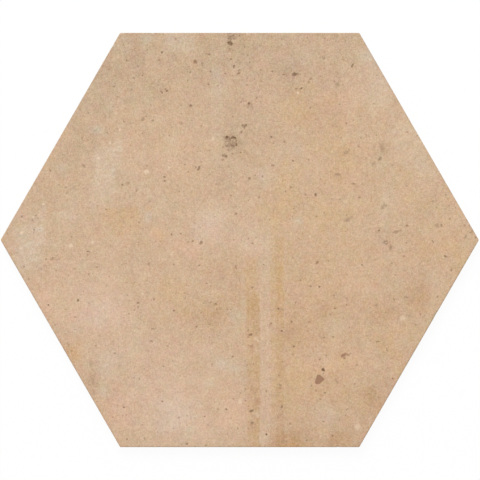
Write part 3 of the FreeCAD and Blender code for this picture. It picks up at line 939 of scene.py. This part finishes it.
def refine_face(mesh):
    """Splits the edges of the face and arris where the triangles are larger than wanted."""
    grid = bmesh.new()
    grid.from_mesh(mesh)
    for _ in range(SPLIT_PASSES):
        edges = [edge for edge in grid.edges if min(end.co.z for end in edge.verts) > ARRIS_FOOT - SLACK]
        starts = np.array([edge.verts[0].co for edge in edges])
        ends = np.array([edge.verts[1].co for edge in edges])
        lengths = np.linalg.norm(ends - starts, axis=1)
        too_long = lengths > SPLIT_ABOVE * wanted_step((starts + ends) / 2)
        chosen = [edge for edge, long in zip(edges, too_long) if long]
        bmesh.ops.subdivide_edges(grid, edges=chosen, cuts=1)
        many_sided = [face for face in grid.faces if len(face.verts) > 4]
        bmesh.ops.triangulate(grid, faces=many_sided, quad_method="BEAUTY", ngon_method="BEAUTY")
    bmesh.ops.triangulate(grid, faces=grid.faces[:])
    grid.to_mesh(mesh)
    grid.free()


def cloud(warped, patches):
    """The strength of one tint at each point: soft patches added together."""
    strength = np.zeros(len(warped))
    for patch in patches:
        away = warped[:, :2] - on_tile(patch.across, patch.down)
        reach = (patch.reach_across * PIXEL, patch.reach_down * PIXEL)
        ratio = np.hypot(away[:, 0] / reach[0], away[:, 1] / reach[1])
        strength += patch.strength * np.exp(-CLOUD_FALL * ratio**CLOUD_FALL_POWER)
    return strength


def nibble_share(points, ragged):
    """How far each point lies in a nibble of the arris."""
    share = np.zeros(len(points))
    for place, size in NIBBLES:
        ratio = np.linalg.norm(points - place, axis=1) / size * (1 + MARK_RAGGEDNESS * ragged)
        share = np.maximum(share, smooth_step(*NIBBLE_WALL, ratio))
    return share


def face_marks(surface):
    """The marks' strengths at each point, by the name of the mesh attribute that holds them."""
    strengths = {name: np.zeros(len(surface.points)) for name in ("pit", "rust", "smudge", "grain")}
    from_edge = chip_distance(surface.points)
    strengths["rust"] += CHIP_DARK * smooth_step(CHIP_EDGE_SOFTNESS, -CHIP_EDGE_SOFTNESS, from_edge)
    strengths["pit"] += CHIP_RIM_DARK * smooth_step(CHIP_RIM, 0, np.abs(from_edge + CHIP_RIM / 2))
    kinds = [
        ("pit", [*ALL_PITS, *NICKS_AND_SHADE_ARCS, *CRUST_RIM_AND_SHADE], PIT_FADE),
        ("rust", RUST_SPOTS, RUST_FADE),
        ("smudge", [*SMUDGES, CRUST], SMUDGE_FADE),
        ("grain", PALE_GRAINS_AND_HIGHLIGHT, PALE_GRAIN_AND_HIGHLIGHT_FADE),
    ]
    for name, marks, fade in kinds:
        surface.add_marks(strengths[name], marks, lambda mark: mark.dark, fade)
    return strengths


def face_tints(points):
    """The strength of each tint at each point, by the name of the mesh attribute that holds it."""
    warped = points.copy()
    for shift, (size, amount) in enumerate(CLOUD_WARPS):
        for axis, axis_shift in enumerate(CLOUD_WARP_SHIFTS):
            warped[:, axis] += amount * noise_at(points, size, axis_shift + shift)
    return {name: cloud(warped, CLOUDS[name]) for name in CLOUDS}


def pit_depth(mark):
    """The depth of a pit, by its width."""
    return min(PIT_DEEPEST, PIT_DEPTH_SHARE * mark.width * PIXEL)


def cut_depth(surface):
    """How far the face is cut down at each point."""
    depth = np.zeros(len(surface.points))
    surface.add_marks(depth, ALL_PITS, pit_depth, PIT_WALL)
    surface.add_marks(depth, [*NICKS_AND_SHADE_ARCS, *CRUST_RIM_AND_SHADE], lambda mark: NICK_DEPTH, SHALLOW_WALL)
    surface.add_marks(depth, RUST_SPOTS, lambda mark: RUST_DEPTH, SHALLOW_WALL)
    chip_edge = smooth_step(CHIP_EDGE_SOFTNESS, -CHIP_EDGE_SOFTNESS, chip_distance(surface.points))
    depth = np.maximum(depth, CHIP_DEPTH * chip_edge)
    chosen = surface.near(CRUST, 0)
    crust, _ = surface.oval_distance(CRUST, chosen)
    rough = noise_at(surface.points[chosen], *CRUST_GRAIN)
    hollow = (CRUST_DEPTH + CRUST_ROUGHNESS * rough) * smooth_step(*CRUST_WALL, crust)
    depth[chosen] = np.maximum(depth[chosen], hollow)
    return depth


def undulation(points):
    """How far the face sinks in its gentle unevenness, never above its plane."""
    sunk = np.zeros(len(points))
    for shift, (size, share) in enumerate(UNDULATION_SIZES):
        sunk += share * (0.5 + 0.5 * noise_at(points, size, UNDULATION_SHIFT + shift))
    return UNDULATION * np.clip(sunk, 0, 1)


def carve(surface):
    """The points with the face's unevenness, marks and nibbles cut in."""
    points = surface.points
    rise = np.clip((points[:, 2] - ARRIS_FOOT) / ARRIS_RADIUS, 0, 1)
    carved = points.copy()
    carved[:, 2] -= rise * (undulation(points) + cut_depth(surface))
    nibble = NIBBLE_DEPTH * nibble_share(points, surface.ragged) * (points[:, 2] > BAND_FOOT)
    outward = points[:, :2] / np.linalg.norm(points[:, :2], axis=1, keepdims=True).clip(MM)
    near_edge = hexagon_distance(points) > APOTHEM - FACE_EDGE
    carved[:, :2] -= outward * (nibble * near_edge)[:, None]
    carved[:, 2] -= nibble
    return carved


def coat_share(points):
    """1 on the face and over the arris, and 0 below the ragged line where its coat ends on the wall."""
    line = THICKNESS - COAT_END + COAT_WANDER * noise_at(points, *COAT_WANDER_NOISE)
    return smooth_step(line - COAT_FADE, line + COAT_FADE, points[:, 2])


def write_attribute(mesh, name, values):
    """Keeps one number for each point of the mesh, for the material."""
    attribute = mesh.attributes.new(name, "FLOAT", "POINT")
    attribute.data.foreach_set("value", values.astype(np.float32))


def write_uv(mesh, flat_points):
    """One layout for the whole tile: the face, a smaller back, and a strip for each of the six walls."""
    corner_points = np.array([loop.vertex_index for loop in mesh.loops])
    points = flat_points[corner_points]
    low_corner = (part_low.x, part_low.y)
    uv = np.zeros((len(points), 2))
    for polygon in mesh.polygons:
        loops = slice(polygon.loop_start, polygon.loop_start + polygon.loop_total)
        here = points[loops]
        middle = here.mean(axis=0)
        reach = hexagon_distance(middle[None])[0]
        if middle[2] > ARRIS_FOOT:
            uv[loops] = FACE_CORNER + (here[:, :2] - low_corner) * FACE_SCALE
        elif reach < APOTHEM - FACE_EDGE or middle[2] < SLACK:
            uv[loops] = BACK_CORNER + (here[:, :2] - low_corner) * BACK_SCALE
        else:
            side = int(math.atan2(middle[1], middle[0]) % (2 * math.pi) // SIDE_ANGLE)
            along = here[:, :2] @ direction(SIDE_ANGLE * (side + 0.5) + math.pi / 2) + APOTHEM
            uv[loops, 0] = STRIP_CORNER[0] + side * STRIP_PITCH + here[:, 2] * FACE_SCALE
            uv[loops, 1] = STRIP_CORNER[1] + along * FACE_SCALE
    layer = mesh.uv_layers.new(name="OFBake")
    layer.data.foreach_set("uv", uv.ravel())


def make_tile():
    """The whole tile as one closed piece."""
    shape = build_shape()
    mesh = bpy.data.meshes.new("tile_body")
    mesh.from_pydata(shape.points, [], shape.faces)
    refine_face(mesh)
    flat_points = np.empty(len(mesh.vertices) * 3)
    mesh.vertices.foreach_get("co", flat_points)
    flat_points = flat_points.reshape(-1, 3)
    top = flat_points[:, 2] > BAND_FOOT
    ragged = np.zeros(len(flat_points))
    ragged[top] = noise_at(flat_points[top], *MARK_GRAIN)
    surface = Surface(flat_points, ragged)
    from_middle = hexagon_distance(flat_points)
    attributes = {
        "coat": coat_share(flat_points),
        "nibble": nibble_share(flat_points, ragged),
        # A line of painted shade along the arris, darker towards the edge
        "arris": smooth_step(APOTHEM - ARRIS_SHADE_REACH, APOTHEM - ARRIS_RADIUS / 2, from_middle),
    }
    for name, values in {**face_tints(flat_points), **face_marks(surface)}.items():
        attributes[name] = values * top
    write_uv(mesh, flat_points)
    mesh.vertices.foreach_set("co", carve(surface).ravel())
    for name, values in attributes.items():
        write_attribute(mesh, name, values)
    mesh.polygons.foreach_set("use_smooth", [True] * len(mesh.polygons))
    mesh.set_sharp_from_angle(angle=SMOOTH_BELOW)
    mesh.update()
    tile = bpy.data.objects.new("tile_body", mesh)
    bpy.context.collection.objects.link(tile)
    return tile


class Graph:
    """The nodes of a material or of the world, with short calls that add to them."""

    def __init__(self, owner):
        owner.use_nodes = True
        self.tree = owner.node_tree
        self.tree.nodes.clear()
        self.place = self.add("ShaderNodeTexCoord", {}).outputs["Object"]

    def add(self, kind, inputs, **settings):
        """Adds a node with its settings and its inputs, which are given by name or by place."""
        node = self.tree.nodes.new(kind)
        for name, value in settings.items():
            setattr(node, name, value)
        for name, value in inputs.items():
            self.feed(node.inputs[name], value)
        return node

    def shader(self, kind, **inputs):
        """Adds a shader and returns what it makes."""
        return self.add(kind, inputs).outputs[0]

    def feed(self, socket, value):
        """Gives a socket a value, or links it to another node's output."""
        if isinstance(value, bpy.types.NodeSocket):
            self.tree.links.new(value, socket)
        elif socket.type == "RGBA":
            socket.default_value = (*value, 1)
        else:
            socket.default_value = value

    def attribute(self, name):
        """A number kept in the mesh."""
        return self.add("ShaderNodeAttribute", {}, attribute_name=name).outputs["Fac"]

    def math(self, operation, *values):
        """Arithmetic on numbers."""
        return self.add("ShaderNodeMath", dict(enumerate(values)), operation=operation).outputs["Value"]

    def vector(self, operation, *values):
        """Arithmetic on places and colours."""
        node = self.add("ShaderNodeVectorMath", dict(enumerate(values)), operation=operation)
        return node.outputs["Vector"]

    def tinted(self, colour, share, offset):
        """The colour with a share of the offset added."""
        return self.vector("MULTIPLY_ADD", share, offset, colour)

    def mixed(self, share, colour, other):
        """The colour with a share of the other mixed in."""
        inputs = {"Factor": share, "A": colour, "B": other}
        return self.add("ShaderNodeMix", inputs, data_type="RGBA").outputs["Result"]

    def noise(self, size, seed, detail=1.0, place=None):
        """Smooth noise about 0.5."""
        inputs = {"Vector": place or self.place, "W": seed, "Scale": 1 / size, "Detail": detail}
        return self.add("ShaderNodeTexNoise", inputs, noise_dimensions="4D").outputs["Fac"]

    def swing(self, size, seed, detail=1.0, place=None):
        """Smooth noise about 0."""
        return self.math("SUBTRACT", self.noise(size, seed, detail, place), 0.5)

    def between(self, value, low, high):
        """0 below low, 1 above high and a smooth rise between."""
        inputs = {"Value": value, "From Min": low, "From Max": high}
        return self.add("ShaderNodeMapRange", inputs, interpolation_type="SMOOTHSTEP").outputs["Result"]

    def specks(self, kind):
        """Round specks in some of the cells of a scattered pattern."""
        shifted = self.vector("ADD", self.place, [kind.seed] * 3)
        cells = self.add("ShaderNodeTexVoronoi", {"Vector": shifted, "Scale": 1 / kind.cell})
        reach = kind.radius / kind.cell
        spot = self.between(cells.outputs["Distance"], reach, reach / SPECK_SPREAD)
        chosen = self.between(self.channel(cells.outputs["Color"]), 1 - kind.share, 1)
        return self.math("MULTIPLY", spot, chosen)

    def stretch(self, stain, across, up):
        """The strength of one straight-sided stain at a place that its ragged edge has moved."""
        left, top = on_tile(stain.left, stain.top)
        right, bottom = on_tile(stain.right, stain.bottom)
        soft_left = PIXEL * stain.soft_left
        soft_right = PIXEL * stain.soft_right
        soft_ends = PIXEL * stain.soft_ends
        share = self.between(across, left - soft_left, left + soft_left)
        share = self.math("MULTIPLY", share, self.between(across, right + soft_right, right - soft_right))
        share = self.math("MULTIPLY", share, self.between(up, bottom - soft_ends, bottom + soft_ends))
        share = self.math("MULTIPLY", share, self.between(up, top + soft_ends, top - soft_ends))
        return self.math("MULTIPLY", share, stain.strength)

    def stretches(self, stains, across, up):
        """The strength of several straight-sided stains together."""
        total = self.stretch(stains[0], across, up)
        for stain in stains[1:]:
            total = self.math("ADD", total, self.stretch(stain, across, up))
        return total

    def channel(self, colour):
        """The first channel of a colour."""
        return self.add("ShaderNodeSeparateColor", {"Color": colour}).outputs["Red"]


def mottled(graph, colour, grains):
    """The colour with mottling of several sizes added."""
    light = warm = rosy = 0.0
    for grain in grains:
        lightness = graph.swing(grain.size, grain.seed)
        warmth = graph.swing(grain.size * WARMTH_SIZE, grain.seed + WARMTH_SEED)
        rosiness = graph.swing(grain.size * WARMTH_SIZE, grain.seed + ROSINESS_SEED)
        light = graph.math("MULTIPLY_ADD", lightness, grain.light, light)
        warm = graph.math("MULTIPLY_ADD", warmth, grain.warm, warm)
        rosy = graph.math("MULTIPLY_ADD", rosiness, grain.rosy, rosy)
    colour = graph.tinted(colour, light, in_light(LIGHT_STEPS))
    colour = graph.tinted(colour, warm, in_light(WARM_STEPS))
    return graph.tinted(colour, rosy, in_light(ROSY_STEPS))


def face_colour(graph):
    """The stained face: the base colour, its clouds, its grain and its marks, and painted shade along the
    arris.
    """
    place = graph.add("ShaderNodeSeparateXYZ", {0: graph.place})
    up = place.outputs["Y"]
    ragged = graph.swing(*STRETCH_RAGGED)
    across = graph.math("MULTIPLY_ADD", ragged, STRETCH_RAGGEDNESS, place.outputs["X"])
    drawn_out = graph.vector("MULTIPLY", graph.place, (1, DRIP_LINE_STRETCH, 1))
    lines = graph.swing(*DRIP_LINES, drawn_out)
    lines = graph.math("MULTIPLY_ADD", lines, DRIP_LINE_STRENGTH, 1.0)
    colour = BASE
    for seed, (name, tint) in enumerate(TINTS.items(), 1):
        broken = graph.swing(tint.break_size, seed, CLOUD_BREAK_DETAIL)
        broken = graph.math("MULTIPLY_ADD", broken, CLOUD_BREAK_STRENGTH, CLOUD_STRENGTH)
        share = graph.math("MULTIPLY", graph.attribute(name), broken)
        if name in DRIPS:
            share = graph.math("MULTIPLY_ADD", graph.stretches(DRIPS[name], across, up), lines, share)
        colour = graph.tinted(colour, share, in_light(tint.steps))
    flecks = graph.between(graph.noise(*FLECKS), *FLECK_RANGE)
    flecks = graph.math("MULTIPLY_ADD", flecks, FLECK_STRENGTH, BLOOM_EVEN)
    bloom = graph.math("MULTIPLY", graph.stretches(BLOOMS, across, up), flecks)
    colour = graph.tinted(colour, bloom, in_light(BLOOM_STEPS))
    colour = mottled(graph, colour, GRAINS)
    for kind in SPECKS:
        colour = graph.tinted(colour, graph.specks(kind), in_light(kind.steps))
    # Pale grains, and one painted highlight
    colour = graph.mixed(graph.attribute("grain"), colour, PALE_GRAIN_AND_HIGHLIGHT_COLOUR)
    smudged = graph.between(graph.noise(*SMUDGE_BREAKS), *SMUDGE_RANGE)
    smudged = graph.math("MULTIPLY", smudged, SMUDGE_STRENGTH)
    smudged = graph.math("MULTIPLY", graph.attribute("smudge"), smudged)
    colour = graph.mixed(smudged, colour, SMUDGE_COLOUR)
    colour = graph.mixed(graph.attribute("rust"), colour, RUST_COLOUR)
    # The pit mask also holds dark arcs of painted shade on the upper walls of some pits and of the
    # crusted hollow
    uneven = graph.math("MULTIPLY_ADD", graph.swing(*PIT_BREAKS), PIT_BREAK_STRENGTH, PIT_STRENGTH)
    pitted = graph.math("MULTIPLY", graph.attribute("pit"), uneven)
    colour = graph.mixed(pitted, colour, PIT_COLOUR)
    # Painted shade along the arris
    return graph.tinted(colour, graph.attribute("arris"), in_light(ARRIS_PAINTED_SHADE))


def body_colour(graph):
    """The paler body, as it shows on the walls and the back, with traces of kiln wash on the ribs."""
    colour = mottled(graph, BODY, BODY_GRAINS)
    for kind in BODY_SPECKS:
        colour = graph.tinted(colour, graph.specks(kind), in_light(kind.steps))
    place = graph.add("ShaderNodeSeparateXYZ", {0: graph.place})
    rib = graph.between(place.outputs["Z"], WASH_HEIGHT, 0.0)
    traces = graph.between(graph.noise(*WASH_TRACES), *WASH_RANGE)
    wash = graph.math("MULTIPLY", graph.math("MULTIPLY", rib, traces), WASH_STRENGTH)
    return graph.mixed(wash, colour, WASH_COLOUR)


def make_finish():
    """The fired tile's matt finish."""
    material = bpy.data.materials.new("fired_matt")
    graph = Graph(material)
    shader = graph.add("ShaderNodeBsdfPrincipled", {"Specular IOR Level": SHEEN})
    coat = graph.attribute("coat")
    worn = graph.math("MULTIPLY", graph.attribute("nibble"), NIBBLE_FRESHNESS)
    colour = graph.mixed(coat, body_colour(graph), face_colour(graph))
    colour = graph.mixed(worn, colour, BODY)
    graph.feed(shader.inputs["Base Color"], colour)
    rough = graph.math("MULTIPLY_ADD", graph.swing(*ROUGHNESS_NOISE), ROUGHNESS_SWING, ROUGHNESS)
    graph.feed(shader.inputs["Roughness"], rough)
    relief = graph.math("MULTIPLY", graph.noise(*BUMP_FINE), BUMP_FINE_SHARE)
    relief = graph.math("ADD", relief, graph.noise(*BUMP_COARSE))
    for kind in SPECKS:
        relief = graph.math("MULTIPLY_ADD", graph.specks(kind), -kind.depth, relief)
    bump = graph.add("ShaderNodeBump", {"Distance": BUMP_DISTANCE, "Height": relief})
    graph.feed(shader.inputs["Normal"], bump.outputs["Normal"])
    graph.add("ShaderNodeOutputMaterial", {"Surface": shader.outputs["BSDF"]})
    return material


def finish_surface(graph, lighting, shown, output_kind):
    """Ends a graph with one surface that lights the tile, and another for what is seen directly.

    Seen directly is what the camera sees, also in gloss or through glass.
    """
    light_path = graph.add("ShaderNodeLightPath", {})
    seen = light_path.outputs["Is Camera Ray"]
    for name in ("Is Glossy Ray", "Is Transmission Ray"):
        seen = graph.math("MAXIMUM", seen, light_path.outputs[name])
    surface = graph.add("ShaderNodeMixShader", {0: seen, 1: lighting, 2: shown})
    graph.add(output_kind, {"Surface": surface.outputs[0]})


def make_floor():
    """A plain white floor, which still takes a soft shadow."""
    mesh = bpy.data.meshes.new("floor")
    reach = FLOOR_SIZE / 2
    corners = [(-reach, -reach, 0), (reach, -reach, 0), (reach, reach, 0), (-reach, reach, 0)]
    mesh.from_pydata(corners, [], [(0, 1, 2, 3)])
    floor = bpy.data.objects.new("floor", mesh)
    bpy.context.collection.objects.link(floor)
    material = bpy.data.materials.new("floor_white")
    graph = Graph(material)
    plain = graph.shader("ShaderNodeBsdfDiffuse", Color=[FLOOR_GREY] * 3)
    glow = graph.shader("ShaderNodeEmission", Strength=1 - FLOOR_SHADOW)
    shaded = graph.shader("ShaderNodeBsdfDiffuse", Color=[FLOOR_SHADOW] * 3)
    shown = graph.add("ShaderNodeAddShader", {0: glow, 1: shaded}).outputs[0]
    finish_surface(graph, plain, shown, "ShaderNodeOutputMaterial")
    mesh.materials.append(material)


def make_world():
    """Even light from all round, and white where the camera sees past the floor."""
    world = bpy.data.worlds.new("studio")
    bpy.context.scene.world = world
    graph = Graph(world)
    dim = graph.shader("ShaderNodeBackground", Color=WHITE, Strength=WORLD_LIGHT)
    white = graph.shader("ShaderNodeBackground", Color=WHITE)
    finish_surface(graph, dim, white, "ShaderNodeOutputWorld")


def make_lamp():
    """A soft lamp beyond the tile's upper edge."""
    light = bpy.data.lights.new("softbox", "AREA")
    light.shape = "SQUARE"
    light.size = LAMP_SIZE
    light.energy = LAMP_POWER
    lamp = bpy.data.objects.new("softbox", light)
    toward = Vector((
        math.sin(LAMP_SIDE) * math.cos(LAMP_HEIGHT),
        math.cos(LAMP_SIDE) * math.cos(LAMP_HEIGHT),
        math.sin(LAMP_HEIGHT),
    ))
    lamp.location = toward * LAMP_DISTANCE
    lamp.rotation_euler = toward.to_track_quat("Z", "Y").to_euler()
    bpy.context.collection.objects.link(lamp)


def make_camera():
    """Straight above the tile, so that it fills the picture as in the photograph."""
    lens = bpy.data.cameras.new("camera")
    lens.lens = CAMERA_LENS
    lens.sensor_width = CAMERA_SENSOR
    camera = bpy.data.objects.new("camera", lens)
    distance = PHOTO_SIZE * PIXEL * CAMERA_LENS / CAMERA_SENSOR
    middle = on_tile(PHOTO_SIZE / 2, PHOTO_SIZE / 2)
    camera.location = (*middle, THICKNESS + distance)
    bpy.context.collection.objects.link(camera)
    bpy.context.scene.camera = camera


tile = make_tile()
tile.data.materials.append(make_finish())
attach(tile, "root")
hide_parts(CAD_NODE)
make_floor()
make_world()
make_lamp()
make_camera()
bpy.context.scene.view_settings.view_transform = "Standard"
